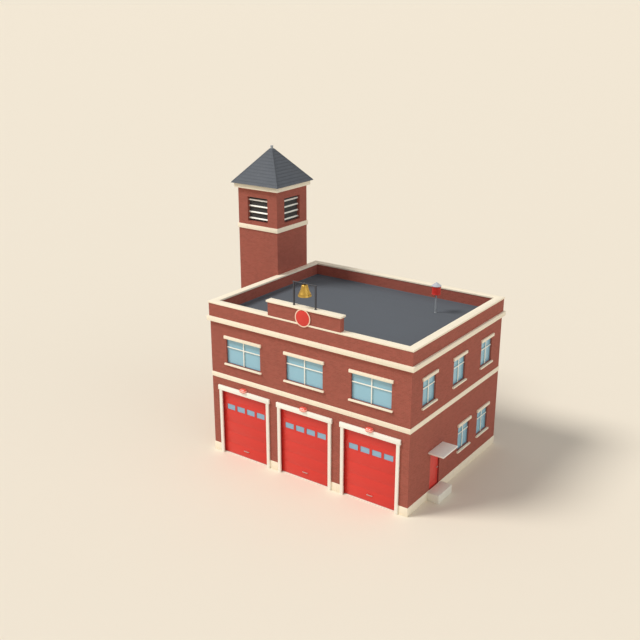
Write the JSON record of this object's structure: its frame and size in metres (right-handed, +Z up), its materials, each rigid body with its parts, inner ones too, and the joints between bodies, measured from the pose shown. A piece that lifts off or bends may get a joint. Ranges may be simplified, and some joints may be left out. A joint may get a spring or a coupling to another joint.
{
  "type": "fire station building",
  "caption": "Brick fire station with sectional bay doors, a side door, a roof bell, a siren and a louvred hose tower.",
  "frame": {"origin": "on the ground, below the front left corner of the brick walls", "axes": "+Z up; the bay doors face -Y, the side door faces +X, and the hose tower stands on the -X side"},
  "size_m": [18.512, 11.325, 17.96],
  "materials": {
    "brick": "fired clay brick",
    "cream_stone": "smooth cast stone",
    "concrete": "trowelled concrete",
    "roof_felt": "mineral felt over concrete deck",
    "slate": "dark slate",
    "white_paint": "satin paint",
    "red_paint": "gloss paint",
    "pink_paint": "gloss paint",
    "red_lens": "moulded lens",
    "steel": "brushed",
    "grey_steel": "satin paint",
    "blue_grey_paint": "satin paint",
    "dark_iron": "painted",
    "bell_bronze": "polished",
    "window_glass": "clear"
  },
  "bodies": {
    "building": {"floor_slab": "concrete", "plinth": "cream_stone", "front_wall_lower": "brick", "right_wall_lower": "brick", "right_wall_over_door": "brick", "back_wall_lower": "brick", "left_wall_lower": "brick", "string_course": "cream_stone", "upper_floor": "concrete", "front_wall_upper": "brick", "back_wall_upper": "brick", "right_wall_upper": "brick", "left_wall_upper": "brick", "cornice": "cream_stone", "roof_deck": "roof_felt", "parapet": "brick", "coping": "cream_stone", "window_lintels": "cream_stone", "window_sills": "cream_stone", "window_frames": "blue_grey_paint", "window_glass": "window_glass", "bay_surrounds": "white_paint", "bay_doors": "red_paint", "bay_door_glass": "window_glass", "bay_door_handles": "steel", "bay_lamps": "red_lens", "side_door_frame": "red_paint", "canopy": "concrete", "step_block": "concrete", "sign_block": "brick", "sign_coping": "cream_stone", "medallion_disc": "red_paint", "medallion_ring": "pink_paint", "bell_frame": "dark_iron", "siren_post": "grey_steel", "siren_drum": "red_paint", "siren_cap": "blue_grey_paint", "tower_plinth": "cream_stone", "tower_shaft": "brick", "tower_belt": "cream_stone", "tower_belfry": "brick", "tower_louvres": "white_paint", "tower_cornice": "cream_stone", "tower_roof": "slate", "tower_finial": "dark_iron"},
    "side_door": {"side_door_leaf": "red_paint", "side_door_handle": "steel"},
    "bell": {"bell": "bell_bronze"}
  },
  "joints": [
    {"name": "side_door_hinge", "type": "hinge", "parent": "building", "child": "side_door", "pos_m": [13.947, 2.473, 1.5], "axis": [0, 0, -1], "range_deg": [0, 90]},
    {"name": "bell_swing", "type": "hinge", "parent": "building", "child": "bell", "pos_m": [7, 0.123, 12.132], "axis": [1, 0, 0], "range_deg": [-35, 35]}
  ]
}
